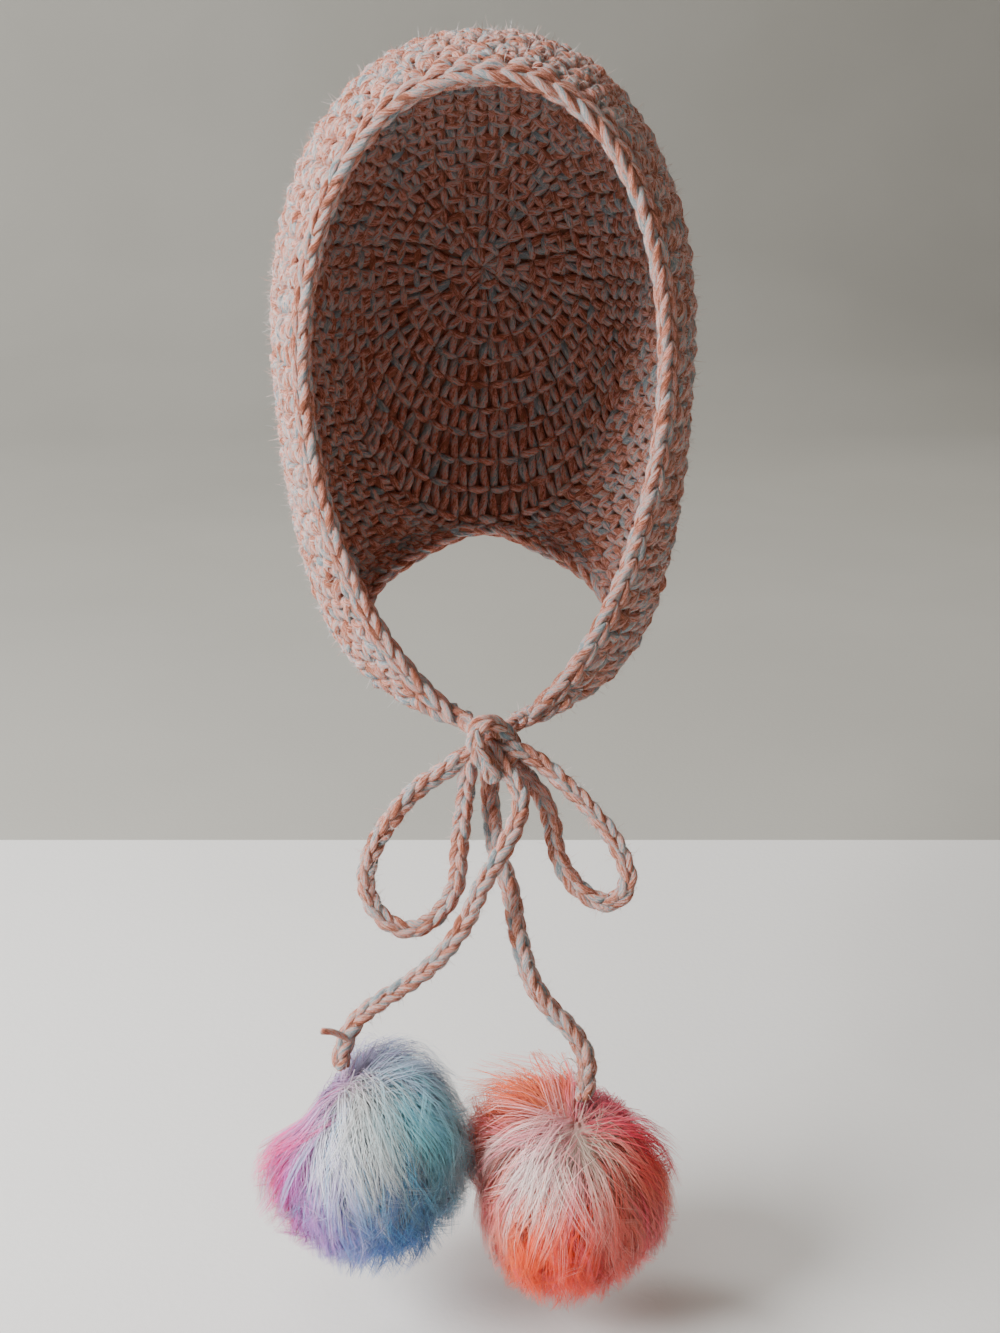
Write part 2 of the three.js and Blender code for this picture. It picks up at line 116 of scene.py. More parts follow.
def place_camera():
    data = bpy.data.cameras.new("camera")
    data.sensor_width = SENSOR_MM
    data.lens = SENSOR_MM * FOCAL_PX / PHOTO_HEIGHT_PX
    camera = bpy.data.objects.new("camera", data)
    camera.location = CAMERA_PLACE
    camera.rotation_euler = (math.radians(90 - CAMERA_DOWN_DEG), 0, 0)
    bpy.context.collection.objects.link(camera)
    bpy.context.scene.camera = camera


# Materials


class Nodes:
    """A small helper that adds nodes to a material and wires them."""

    def __init__(self, name):
        self.material = bpy.data.materials.new(name)
        self.material.use_nodes = True
        self.tree = self.material.node_tree
        self.shader = self.tree.nodes["Principled BSDF"]

    def add(self, kind, inputs=None, **settings):
        node = self.tree.nodes.new(kind)
        for key, value in settings.items():
            setattr(node, key, value)
        for key, value in (inputs or {}).items():
            self.feed(node.inputs[key], value)
        return node

    def feed(self, socket, value):
        if isinstance(value, bpy.types.NodeSocket):
            self.tree.links.new(value, socket)
        else:
            socket.default_value = value

    def math(self, operation, a, b=0.0, c=0.0):
        return self.add("ShaderNodeMath", {0: a, 1: b, 2: c}, operation=operation).outputs[0]

    def mix(self, factor, a, b):
        return self.add("ShaderNodeMix", {0: factor, 6: a, 7: b}, data_type="RGBA").outputs[2]

    def ramp(self, factor, stops, interpolation="EASE"):
        node = self.add("ShaderNodeValToRGB", {0: factor})
        ramp = node.color_ramp
        ramp.interpolation = interpolation
        while len(ramp.elements) < len(stops):
            ramp.elements.new(0.5)
        for element, (at, colour) in zip(ramp.elements, stops):
            element.position = at
            element.color = (*colour, 1)
        return node.outputs[0]

    def noise(self, vector, scale, detail=2.0):
        node = self.add("ShaderNodeTexNoise", {"Vector": vector, "Scale": scale, "Detail": detail})
        return node.outputs[0]

    def vector(self, x, y, z):
        return self.add("ShaderNodeCombineXYZ", {0: x, 1: y, 2: z}).outputs[0]

    def place(self):
        return self.add("ShaderNodeTexCoord").outputs["Object"]

    def finished(self, colour, numbers, bump=None):
        """The material with its colour, the numbers that are the same all over, and a bump."""
        self.feed(self.shader.inputs["Base Color"], colour)
        for socket, value in numbers.items():
            self.shader.inputs[socket].default_value = value
        if bump:
            node = self.add("ShaderNodeBump", dict(zip(("Height", "Strength", "Distance"), bump)))
            self.feed(self.shader.inputs["Normal"], node.outputs[0])
        return self.material


# The marled yarn from its rusty salmon over pink and lilac to its grey-blue.
MARL = [
    (0, (0.38, 0.12, 0.06)), (0.2, (0.62, 0.22, 0.14)), (0.36, (0.82, 0.35, 0.27)),
    (0.5, (0.87, 0.48, 0.41)), (0.61, (0.83, 0.61, 0.58)), (0.7, (0.6, 0.6, 0.6)),
    (0.82, (0.38, 0.49, 0.52)), (1, (0.24, 0.35, 0.4))]
TWIST_MM = 26.0
# The scales of its colours: per mm along, round the strand, detail, and the share in the blend.
YARN_MIDDLE = 0.47
YARN_NOISES = [(0.06, 0.45, 1, 2), (0.16, 2.6, 2, 1.7), (0.34, 7, 3, 1.1),
               (1.1, 15, 3, 0.9)]
# The painted shade that darkens the grooves between the plies.
GROOVE_PAINTED_SHADE = (0.3, 0.12, 0.08, 1)


# A shade above 1 makes a copy of the yarn lighter, as painted light, and a shade below 1 makes it
# darker, as painted shade.
def yarn_material(name, shade=1.0):
    """Marled yarn: fine plies of several colours that run along the strand, with grooves between
    them that are darkened with painted shade. The strand attribute holds the distance along it and
    the turn round it."""
    n = Nodes(name)
    strand = n.add("ShaderNodeAttribute", attribute_name="strand").outputs["Vector"]
    along, cos, sin = n.add("ShaderNodeSeparateXYZ", {0: strand}).outputs
    blend, noises = YARN_MIDDLE, []
    for per_mm, round_it, detail, share in YARN_NOISES:
        place = [n.math("MULTIPLY", part, scale)
                 for part, scale in ((along, per_mm), (cos, round_it), (sin, round_it))]
        noises.append(n.noise(n.vector(*place), 1.0, detail))
        blend = n.math("MULTIPLY_ADD", n.math("SUBTRACT", noises[-1], 0.5), share, blend)
    colour = n.ramp(blend, [(at, tuple(shade * c for c in rgb)) for at, rgb in MARL])
    across, up = (n.math("MULTIPLY", part, part) for part in (cos, sin))
    double = n.math("DIVIDE", n.math("SUBTRACT", across, up), n.math("ADD", across, up))
    plies = n.math("MULTIPLY_ADD", n.math("MULTIPLY", double, double), 2.0, -1.0)
    plies = n.math("ADD", plies, n.math("SUBTRACT", noises[1], 0.5))
    groove = n.math("MINIMUM", n.math("MULTIPLY", n.math("ABSOLUTE", plies), 1.8), 1.0)
    # The colour is darkened towards the groove colour between the plies: painted shade.
    deep = n.mix(n.math("MULTIPLY_ADD", groove, 0.30, 0.70), GROOVE_PAINTED_SHADE, colour)
    height = n.math("MULTIPLY_ADD", groove, 0.4, n.math("ADD", noises[2], noises[3]))
    return n.finished(deep, {
        "Roughness": 0.95, "Specular IOR Level": 0.12, "Subsurface Weight": 0.3,
        "Subsurface Radius": (1.0, 0.42, 0.28), "Subsurface Scale": 0.0016, "Sheen Weight": 0.18,
        "Sheen Roughness": 0.6, "Sheen Tint": (1, 0.78, 0.72, 1)}, (height, 1, 0.0008))


def painted_shade_backing_material():
    """The yarn deep between the stitches, painted dark brown as the shade that falls there."""
    n = Nodes("yarn_depth_painted_shade")
    mottle = n.noise(n.place(), 420.0, 4.0)
    colour = n.ramp(mottle, [(0.3, (0.20, 0.08, 0.05)), (0.55, (0.34, 0.16, 0.11)),
                             (0.8, (0.36, 0.25, 0.22))])
    return n.finished(colour, {"Roughness": 1, "Specular IOR Level": 0.1}, (mottle, 0.8, 0.001))


def fuzz_material():
    """Loose fibres, each in a colour of its own."""
    n = Nodes("yarn_fuzz")
    strand = n.add("ShaderNodeAttribute", attribute_name="strand").outputs["Vector"]
    seed = n.add("ShaderNodeSeparateXYZ", {0: strand}).outputs[2]
    colour = n.ramp(seed, [(0.0, (0.66, 0.33, 0.25)), (0.5, (0.78, 0.62, 0.60)),
                           (1.0, (0.55, 0.58, 0.60))])
    return n.finished(colour, {"Roughness": 0.8, "Sheen Weight": 0.5})


def clear_thread_material():
    n = Nodes("clear_thread")
    tone = n.noise(n.place(), 900.0)
    colour = n.ramp(tone, [(0.3, (0.86, 0.82, 0.76)), (0.7, (0.95, 0.93, 0.90))])
    return n.finished(colour, {"Roughness": 0.18, "Transmission Weight": 0.75})


def fur_material(name):
    """Faux fur: each fibre carries its own colour from root to tip, with its painted shade and light.
    """
    n = Nodes(name)
    tint = n.add("ShaderNodeAttribute", attribute_name="tint").outputs["Color"]
    streak = n.noise(n.place(), 260.0, 2.0)
    bright = n.add("ShaderNodeMapRange", {0: streak, 1: 0.3, 2: 0.7, 3: 0.86, 4: 1.1}).outputs[0]
    colour = n.add("ShaderNodeVectorMath", {0: tint, "Scale": bright}, operation="SCALE")
    return n.finished(colour.outputs[0], {
        "Roughness": 0.55, "Specular IOR Level": 0.3, "Sheen Weight": 0.15, "Sheen Roughness": 0.4})


# Meshes from arrays


STRAND_SPREAD_MM = 4000.0


def unit(v):
    return v / np.maximum(np.linalg.norm(v, axis=-1, keepdims=True), 1e-12)


def mesh_object(name, points, quads, material, vectors=None, colours=None):
    """An object of quads (or triangles) with smooth faces and its point attributes."""
    mesh = bpy.data.meshes.new(name)
    size = quads.shape[1]
    mesh.vertices.add(len(points))
    mesh.vertices.foreach_set("co", np.asarray(points, np.float32).ravel())
    mesh.loops.add(quads.size)
    mesh.loops.foreach_set("vertex_index", quads.astype(np.int32).ravel())
    mesh.polygons.add(len(quads))
    mesh.polygons.foreach_set("loop_start", np.arange(0, quads.size, size, dtype=np.int32))
    mesh.polygons.foreach_set("use_smooth", np.ones(len(quads), bool))
    if vectors is not None:
        layer = mesh.attributes.new("strand", "FLOAT_VECTOR", "POINT")
        layer.data.foreach_set("vector", np.asarray(vectors, np.float32).ravel())
    if colours is not None:
        layer = mesh.attributes.new("tint", "FLOAT_COLOR", "POINT")
        layer.data.foreach_set("color", np.asarray(colours, np.float32).ravel())
    mesh.update(calc_edges=True)
    mesh.validate()
    mesh.materials.append(material)
    obj = bpy.data.objects.new(name, mesh)
    bpy.context.collection.objects.link(obj)
    return obj


def tubes(paths, radii, up, sides, capped=True):
    """Round strands: paths (M, K, 3), radii (M, K) and up (M, K, 3) give the points, quads and
    strand attribute of M strands. A cap draws an end to a point."""
    count, rings, _ = paths.shape
    tangent = unit(np.gradient(paths, axis=1))
    side = unit(np.cross(tangent, up))
    normal = np.cross(side, tangent)
    angle = 2 * math.pi * np.arange(sides) / sides
    ring = side[:, :, None] * np.cos(angle)[:, None] + normal[:, :, None] * np.sin(angle)[:, None]
    points = (paths[:, :, None] + ring * radii[:, :, None, None]).reshape(count, -1, 3)
    step = np.linalg.norm(np.diff(paths, axis=1), axis=2) / MM
    along = np.concatenate([np.zeros((count, 1)), np.cumsum(step, axis=1)], axis=1)
    along = along + rng.random((count, 1)) * STRAND_SPREAD_MM
    turn = angle + 2 * math.pi * along[:, :, None] / TWIST_MM
    strand = np.stack([np.broadcast_to(along[:, :, None], turn.shape), np.cos(turn), np.sin(turn)], -1)
    strand = strand.reshape(count, -1, 3)
    k = np.arange(sides)
    after = (k + 1) % sides
    rows = np.arange(rings - 1)[:, None] * sides
    faces = np.stack([rows + k, rows + after, rows + sides + after, rows + sides + k], -1)
    faces = faces.reshape(-1, 4)
    if capped:
        tips = [paths[:, :1] - tangent[:, :1] * radii[:, :1, None] * 0.3,
                paths[:, -1:] + tangent[:, -1:] * radii[:, -1:, None] * 0.3]
        points = np.concatenate([points, *tips], axis=1)
        strand = np.concatenate([strand, strand[:, :1], strand[:, -1:]], axis=1)
        tip, last = rings * sides, (rings - 1) * sides
        near = k[::2]
        middle, far = (near + 1) % sides, (near + 2) % sides
        faces = np.concatenate([
            faces, np.stack([np.full(len(near), tip), far, middle, near], -1),
            np.stack([np.full(len(near), tip + 1), last + near, last + middle, last + far], -1)])
    each = points.shape[1]
    faces = (np.arange(count)[:, None, None] * each + faces[None]).reshape(-1, 4)
    return points.reshape(-1, 3), faces, strand.reshape(-1, 3)


def strands_object(name, parts, material):
    """One object of several results of tubes."""
    points, quads, vectors = zip(*parts)
    starts = np.cumsum([0, *(len(p) for p in points)])
    quads = [q + start for q, start in zip(quads, starts)]
    return mesh_object(name, np.concatenate(points), np.concatenate(quads), material,
                       vectors=np.concatenate(vectors))


def distances(line):
    """How far along a line each of its points lies."""
    return np.concatenate([[0], np.cumsum(np.linalg.norm(np.diff(line, axis=0), axis=1))])


def read_off(values, at, wanted):
    """Rows of three values that are known at some distances, at the wanted ones."""
    return np.stack([np.interp(wanted, at, values[:, k]) for k in range(3)], axis=-1)


# The hood's surface


def smooth_table(rows, key, at):
    """A smooth curve through rows of numbers, with each slope taken from the neighbours."""
    x = np.array([row["reach"] for row in rows])
    y = np.array([row[key] for row in rows])
    low, high = np.maximum(np.arange(len(x)) - 1, 0), np.minimum(np.arange(len(x)) + 1, len(x) - 1)
    slope = (y[high] - y[low]) / (x[high] - x[low])
    i = np.clip(np.searchsorted(x, at, side="right") - 1, 0, len(x) - 2)
    span = x[i + 1] - x[i]
    t = (at - x[i]) / span
    rise = t * t * (3 - 2 * t)
    return (y[i] + (y[i + 1] - y[i]) * rise + t * (1 - t) ** 2 * span * slope[i]
            + t * t * (t - 1) * span * slope[i + 1])


def sized_sections():
    """The sections in metres."""
    rows = [dict(zip(SECTION_KEYS, values)) for values in SECTIONS]
    for row in rows:
        for part in ("top", "side", "end"):
            row[part + "_y"] *= HOOD_DEPTH
            row[part + "_z"] = WALL - row[part + "_z"] * HOOD_HEIGHT
        row["side_x"] = (row["ears"] * HOOD_WIDTH + row["face"] * FACE_WIDTH) / 2
        row["end_x"] = (row["neck"] * NECK_WIDTH + row["throat"] * THROAT_GAP) / 2
    return rows


class Shell:
    """The hood's outside as a dense grid over reach (back to rim) and share (-1 to 1)."""

    REACHES, SHARES, START = 201, 120, 0.0008

    def __init__(self):
        rows = sized_sections()
        first, nape, past = rows[1], rows[NAPE_SECTION], rows[NAPE_SECTION + 1]
        turned = dict(first, reach=-first["reach"], top_y=first["end_y"], top_z=first["end_z"],
                      side_x=-first["side_x"], end_y=first["top_y"], end_z=first["top_z"])
        mirrored = dict(past, reach=2 * nape["reach"] - past["reach"], end_x=-past["end_x"])
        self.nape = nape["reach"]
        self.arch_rows = [turned, *rows]
        self.seam_rows = [turned, *rows[:NAPE_SECTION + 1]]
        self.neck_rows = [mirrored, *rows[NAPE_SECTION:]]
        self.reaches = np.linspace(self.START, 1, self.REACHES)
        self.grid = np.stack([self.arch_line(reach) for reach in self.reaches])
        self.lengths = np.linalg.norm(np.diff(self.grid, axis=1), axis=2).sum(axis=1)
        across = np.gradient(self.grid, axis=1)
        closed = self.reaches <= self.nape
        wrap = self.grid[closed, 1] - self.grid[closed, -2]
        across[closed, 0] = wrap / 2
        across[closed, -1] = wrap / 2
        self.normals = unit(np.cross(np.gradient(self.grid, axis=0), across))

    def arch_line(self, reach):
        """Points at even distances from the left end of an arch to its right end."""
        at = {key: smooth_table(self.arch_rows, key, reach)
              for key in ("top_y", "top_z", "side_x", "side_y", "side_z", "pinch")}
        end_rows = self.neck_rows if reach > self.nape else self.seam_rows
        end = {key: smooth_table(end_rows, key, reach) for key in ("end_x", "end_y", "end_z")}
        angle = np.linspace(0, math.pi / 2, 4 * self.SHARES + 1)
        sin, cos = np.sin(angle), np.maximum(np.cos(angle), 0)
        upper = np.stack([
            at["side_x"] * sin ** CROWN_FULLNESS,
            at["side_y"] + (at["top_y"] - at["side_y"]) * cos ** 2,
            at["side_z"] + (at["top_z"] - at["side_z"]) * cos], axis=1)
        lower = np.stack([
            end["end_x"] + (at["side_x"] - end["end_x"]) * cos ** at["pinch"],
            at["side_y"] + (end["end_y"] - at["side_y"]) * sin ** 2,
            at["side_z"] + (end["end_z"] - at["side_z"]) * sin], axis=1)
        trace = np.concatenate([upper, lower[1:]])
        length = distances(trace)
        right = read_off(trace, length, np.linspace(0, length[-1], self.SHARES + 1))
        left = right[:0:-1] * (-1, 1, 1)
        line = np.concatenate([left, right])
        share = np.abs(np.linspace(-1, 1, len(line)))
        line[:, 0] += THROAT_PULL * (share * reach) ** 2 + CROWN_LEAN * ((1 - share) * reach) ** 2
        return line

    def look_up(self, grid, reach, share):
        row = np.interp(reach, self.reaches, np.arange(self.REACHES))
        column = (np.clip(share, -1, 1) + 1) * self.SHARES
        i = np.clip(row.astype(int), 0, self.REACHES - 2)
        j = np.clip(column.astype(int), 0, 2 * self.SHARES - 1)
        a, b = (row - i)[..., None], (column - j)[..., None]
        return ((1 - a) * (1 - b) * grid[i, j] + a * (1 - b) * grid[i + 1, j]
                + (1 - a) * b * grid[i, j + 1] + a * b * grid[i + 1, j + 1])

    def at(self, reach, share, depth=0.0):
        """Points of the wall at a depth below its outside, in metres."""
        out = unit(self.look_up(self.normals, reach, share))
        return self.look_up(self.grid, reach, share) - out * np.asarray(depth)[..., None], out

    def row_length(self, reach):
        return float(np.interp(reach, self.reaches, self.lengths))


# The hood


ROW_PITCH, STITCH_PITCH = 0.0078, 0.0098
BACK_TO_RIM = 0.215
# The reach at which the rows start, and at which the outside is parted into two pieces.
FIRST_ROW, SEAM_OF_PIECES = 0.006, 0.62
# How deep the stitches and the two faces of the backing lie below the wall's outside.
LEG_DEPTH, BAR_DEPTH, LINING_LEG_DEPTH, LINING_BAR_DEPTH = 0.0018, 0.0017, 0.0043, 0.0041
BACKING_DEPTHS = (0.0022, 0.0040)


def stitch_places(shell):
    """The reach, share, width, height and row parity of every stitch of the hood."""
    rows = round(BACK_TO_RIM / ROW_PITCH)
    step = (1 - FIRST_ROW) / rows
    places = []
    for k in range(rows):
        reach = FIRST_ROW + (k + 0.5) * step
        count = max(5, round(shell.row_length(reach) / STITCH_PITCH))
        share = (np.arange(count) + 0.5 + 0.25 * (-1) ** k) / count * 2 - 1
        places.append(np.stack([np.full(count, reach), share, np.full(count, 2 / count),
                                np.full(count, step), np.full(count, k % 2)], axis=1))
    return np.concatenate(places)


# One stitch as strands of yarn: points (sideways, forward, outward) in shares of the stitch's
# own width and height, outward in millimetres, and the half thickness in millimetres.
LEG = [(0.03, -0.62, -2.4, 1.3), (0.07, -0.4, -0.2, 1.8), (0.14, -0.12, 1, 2.1),
       (0.23, 0.14, 1, 2.1), (0.33, 0.36, 0.2, 1.85), (0.4, 0.58, -2.2, 1.2)]
BAR = [(-0.56, 0.2, -1.8, 1), (-0.38, 0.34, 0.2, 1.45), (-0.14, 0.43, 1.1, 1.6),
       (0.14, 0.44, 1.1, 1.6), (0.38, 0.36, 0.2, 1.45), (0.56, 0.24, -1.8, 1)]
LINING_LEG = [(0.13, -0.6, -1.6, 1.3), (0.17, -0.35, 0.2, 1.8), (0.21, -0.08, 1, 2),
              (0.26, 0.18, 1, 2), (0.31, 0.4, 0.2, 1.8), (0.34, 0.6, -1.6, 1.3)]
LINING_BAR = [(-0.5, 0.44, -1.6, 1.2), (-0.34, 0.5, 0.7, 1.7), (-0.12, 0.54, 1.6, 1.95),
              (0.12, 0.54, 1.6, 1.95), (0.34, 0.5, 0.7, 1.7), (0.5, 0.44, -1.6, 1.2)]
SLANT = [(-0.5, -0.36, -1.8, 1), (-0.3, -0.22, 0.5, 1.5), (-0.08, -0.06, 1.9, 1.75),
         (0.14, 0.04, 1.9, 1.75), (0.34, 0.12, 0.5, 1.5), (0.52, 0.22, -1.8, 1)]


# How uneven the stitches are: their turn, size, place sideways and ahead, lift and thickness.
UNEVEN = np.array([0.13, 0.07, 0.04, 0.05, 0.3 * MM, 0.08])


def stitch_strands(shell, places, form, depth, rings, sides, outward=1.0, mirror=1.0, uneven=1.0,
                   plump=1.0):
    """A strand of each stitch, laid over the wall at a depth below its outside."""
    at = np.linspace(0, len(form) - 1, rings)
    rows = [{"reach": k, **dict(zip("abcd", point))} for k, point in enumerate(form)]
    across, ahead, lift, thick = (smooth_table(rows, key, at) for key in "abcd")
    wobble = rng.normal(0, uneven, (len(places), 6)) * UNEVEN
    turn, size, aside, onward, rise, swollen = (wobble[:, k, None] for k in range(6))
    a = across * mirror * (1 + size)
    b = ahead * (1 + size)
    side = a * np.cos(turn) - b * np.sin(turn) + aside
    forward = a * np.sin(turn) + b * np.cos(turn) + onward
    lift = lift * MM + rise
    reach = np.clip(places[:, 0, None] + forward * places[:, 3, None], shell.START, 1)
    share = places[:, 1, None] + side * places[:, 2, None]
    share = np.where(reach <= shell.nape, (share + 1) % 2 - 1, np.clip(share, -1, 1))
    points, out = shell.at(reach, share, depth - lift * outward)
    radius = thick * MM * plump * (1 + swollen)
    longest = np.linalg.norm(np.diff(points, axis=1), axis=2).max(axis=1)
    keep = longest < STITCH_PITCH
    return tubes(points[keep], radius[keep], out[keep] * outward, sides, capped=False)


def hood_backing(shell):
    """The solid heart of the wall, which shows deep between the stitches in its colour of painted
    shade.
    """
    reach = np.concatenate([[shell.START, 0.01], np.linspace(0.02, 1, 44)])
    share = np.linspace(-1, 1, 97)
    grid = np.meshgrid(reach, share, indexing="ij")
    points = np.concatenate([shell.at(*grid, depth)[0] for depth in BACKING_DEPTHS]).reshape(-1, 3)
    index = np.arange(grid[0].size).reshape(grid[0].shape)
    across, under = len(share), index.size
    a = index[:-1, :-1].ravel()
    outside = np.stack([a, a + across, a + across + 1, a + 1], axis=1)
    border = np.concatenate([index[0], index[1:, -1], index[-1, -2::-1], index[-2:0:-1, 0]])
    after = np.roll(border, -1)
    sides = np.stack([border, after, after + under, border + under], axis=1)
    quads = np.concatenate([outside, outside[:, ::-1] + under, sides])
    return mesh_object("hood_backing", points, quads, painted_shade_backing_material())


def hood_stitches(shell, yarn, lining):
    """The outside in two pieces, and the lining side of the same stitches."""
    places = stitch_places(shell)
    at_back = places[:, 0] < SEAM_OF_PIECES
    pieces = []
    for name, part, rings in (("hood_stitches_back", places[at_back], 6),
                              ("hood_stitches_front", places[~at_back], 7)):
        bumpy = part[part[:, 4] == 1]
        pieces.append(strands_object(name, [
            *(stitch_strands(shell, part, LEG, LEG_DEPTH, rings, 6, mirror=m) for m in (1, -1)),
            stitch_strands(shell, part, BAR, BAR_DEPTH, rings, 6),
            stitch_strands(shell, bumpy, SLANT, BAR_DEPTH, rings, 6)], yarn))
    within = dict(outward=-1.0, uneven=0.6, plump=1.1)
    pieces.append(strands_object("hood_lining", [
        *(stitch_strands(shell, places, LINING_LEG, LINING_LEG_DEPTH, 5, 5, mirror=m, **within)
          for m in (1, -1)),
        stitch_strands(shell, places, LINING_BAR, LINING_BAR_DEPTH, 5, 5, **within)], lining))
    return pieces


# Chains of stitches along a line, for the edges, the cords and the knot


CORD_STEP, STRAND_STEP = 0.0015, 0.0012
FORWARD = (0, -1, 0.2)
# A chain's core radius, pitch, reach sideways and outward, and half the thickness of its yarn.
FACE_CHAIN = (0.0022, 0.0096, 0.0029, 0.0023, 0.00175)
NECK_CHAIN = (0.0020, 0.0096, 0.0028, 0.0026, 0.0017)
THROAT_CHAIN = (0.0030, 0.0070, 0.0028, 0.0028, 0.0020)
CORD_CHAIN = (0.0024, 0.0074, 0.0025, 0.0025, 0.0018)
KNOT_CHAIN = (0.0031, 0.0066, 0.0028, 0.0026, 0.0016)
# A chain's loop: its length in pitches, its angle at the start and how far it opens, and the
# share of its size at its ends and what its middle adds.
LOOP_LENGTH, LOOP_START_DEG, LOOP_OPENS_DEG = 1.55, 5, 70
LOOP_ENDS, LOOP_MIDDLE = 0.42, 0.58


def smooth_path(route, step):
    """Points at even steps on a centripetal Catmull-Rom curve, as the solids' tubes follow, from
    a route in millimetres."""
    p = np.array(route, float) * MM
    p = np.concatenate([[2 * p[0] - p[1]], p, [2 * p[-1] - p[-2]]])
    line = []
    for k in range(1, len(p) - 2):
        knots = [0.0]
        for a, b in ((k - 1, k), (k, k + 1), (k + 1, k + 2)):
            knots.append(knots[-1] + math.sqrt(np.linalg.norm(p[b] - p[a])))
        t = np.linspace(knots[1], knots[2], 12, endpoint=False)[:, None]

        def mix(a, b, first, last):
            return (last - t) / (last - first) * a + (t - first) / (last - first) * b

        a1, a2, a3 = (mix(p[k + i - 1], p[k + i], *knots[i:i + 2]) for i in range(3))
        b1, b2 = mix(a1, a2, knots[0], knots[2]), mix(a2, a3, knots[1], knots[3])
        line.append(mix(b1, b2, knots[1], knots[2]))
    line = np.concatenate([*line, p[-2:-1]])
    length = distances(line)
    count = max(2, round(length[-1] / step))
    return read_off(line, length, np.linspace(0, length[-1], count + 1))


def carried_frames(line, up):
    """A sideways and an upward direction at each point, carried along without twist."""
    tangent = unit(np.gradient(line, axis=0))
    out = np.zeros_like(line)
    current = np.array(up, float)
    for i, t in enumerate(tangent):
        current = current - t * current.dot(t)
        current /= np.linalg.norm(current)
        out[i] = current
    return np.cross(tangent, out), out


def core_strand(line, up, radius, sides=8):
    return tubes(line[None], np.full((1, len(line)), radius), up[None], sides)


def swell(t, first, span, power):
    """The share of a loop's size along it."""
    return LOOP_ENDS + LOOP_MIDDLE * np.sin(np.clip(first + t * span, 0, 1) * math.pi) ** power


def chain(line, side, out, sizes, every=2, sides=6, rings=9, thick=1.0):
    """A core along a line, and plump teardrop loops in V pairs on two opposite sides of it."""
    core, pitch, width, height, thickness = sizes
    core, width, height, thickness = (size * thick for size in (core, width, height, thickness))
    parts = [core_strand(line[::every], out[::every], core)]
    length = distances(line)
    count = max(2, int(length[-1] / pitch))
    pitch = length[-1] / count
    t = np.linspace(0, 1, rings)
    opening = np.sin(t * math.pi / 2) ** 1.1 * (1 - 0.18 * t ** 3)
    spread = np.radians(LOOP_START_DEG + LOOP_OPENS_DEG * opening)
    for number, middle in enumerate((0.0, math.pi)):
        for leg in (-1, 1):
            start = (np.arange(count) + 0.5 * number) * pitch - 0.3 * pitch
            start = start[:, None] + rng.normal(0, 0.03, (count, 1)) * pitch
            s = np.clip(start + t[None] * LOOP_LENGTH * pitch, 0, length[-1])
            angle = middle + leg * spread[None] + rng.normal(0, 0.05, (count, 1))
            where, right, upward = (read_off(values, length, s) for values in (line, side, out))
            radial = (right * (np.sin(angle) * width)[..., None]
                      + upward * (np.cos(angle) * height)[..., None])
            points = where + radial * swell(t, 0.12, 0.92, 0.7)[None, :, None]
            radius = thickness * swell(t, 0.08, 0.9, 0.6)
            radius = radius[None] * (1 + rng.normal(0, 0.05, (count, 1)))
            parts.append(tubes(points, radius, unit(radial), sides))
    return parts


def face_edge(shell, yarn):
    """The chain-stitch edge that turns round the rim of the face opening."""
    share = np.linspace(-1, 1, 420)
    rim, out = shell.at(np.ones_like(share), share, WALL / 2)
    along = unit(np.gradient(rim, axis=0))
    ahead = unit(np.cross(along, out))
    line = rim + ahead * EDGE_WIDTH * 0.5
    front = unit(ahead * 0.55 + out * 0.8)
    parts = chain(line, np.cross(along, front), front, FACE_CHAIN, every=6, rings=8)
    return strands_object("face_edge_chain", parts, yarn)


def neck_edge(shell, yarn):
    """The plain row of chain that finishes the neckline, and its gathered corners."""
    reach = np.concatenate([np.linspace(1, shell.nape, 140), np.linspace(shell.nape, 1, 140)[1:]])
    share = np.concatenate([np.full(140, -1.0), np.full(139, 1.0)])
    line, out = shell.at(reach, share, WALL / 2)
    side = np.cross(unit(np.gradient(line, axis=0)), out)
    parts = chain(line, side, out, NECK_CHAIN, every=4, sides=5, rings=8)
    for route in THROAT_CORNERS:
        line = smooth_path(route, CORD_STEP)
        parts += chain(line, *carried_frames(line, FORWARD), THROAT_CHAIN)
    return strands_object("neckline_chain", parts, yarn)


def crochet_cord(name, route, yarn):
    line = smooth_path(route, CORD_STEP)
    parts = chain(line, *carried_frames(line, FORWARD), CORD_CHAIN)
    return strands_object(name, parts, yarn), line


def plain_strand(name, route, radius, material):
    """A single round strand along a route."""
    line = smooth_path(route, STRAND_STEP)
    _, out = carried_frames(line, (0.1, -1, 0.2))
    return strands_object(name, [core_strand(line, out, radius)], material)


# The knot in millimetres: its middle, the strand that is wound over it and ends in a short tongue,
# the strands that pass under it, and the core that they hide.
KNOT_PLACE = (3, -61, -267)
KNOT_WRAP = [(13.9, -60, -268.1), (9, -66, -259.1), (3.4, -69.5, -254.3), (-0.6, -71.5, -255.3),
             (-1.8, -73.5, -260), (0.2, -74.8, -265.6), (3.4, -75.2, -271), (6, -74.4, -277)]
KNOT_UNDER = [
    [(12, -60, -262.5), (13.2, -64, -267.5), (11, -67.5, -272.5), (6.5, -65, -276.5)],
    [(11.5, -54, -266), (4, -51.5, -267), (-4.5, -53.5, -268)],
]
KNOT_CORE = [(3, -60, -256), (3, -61, -262), (3, -61.5, -271), (3, -61, -278)]
KNOT_CORE_RADII = (2.5, 5.8, 6.0, 3.0)
WRAP_THICK, UNDER_THICK = 1.0, 0.9


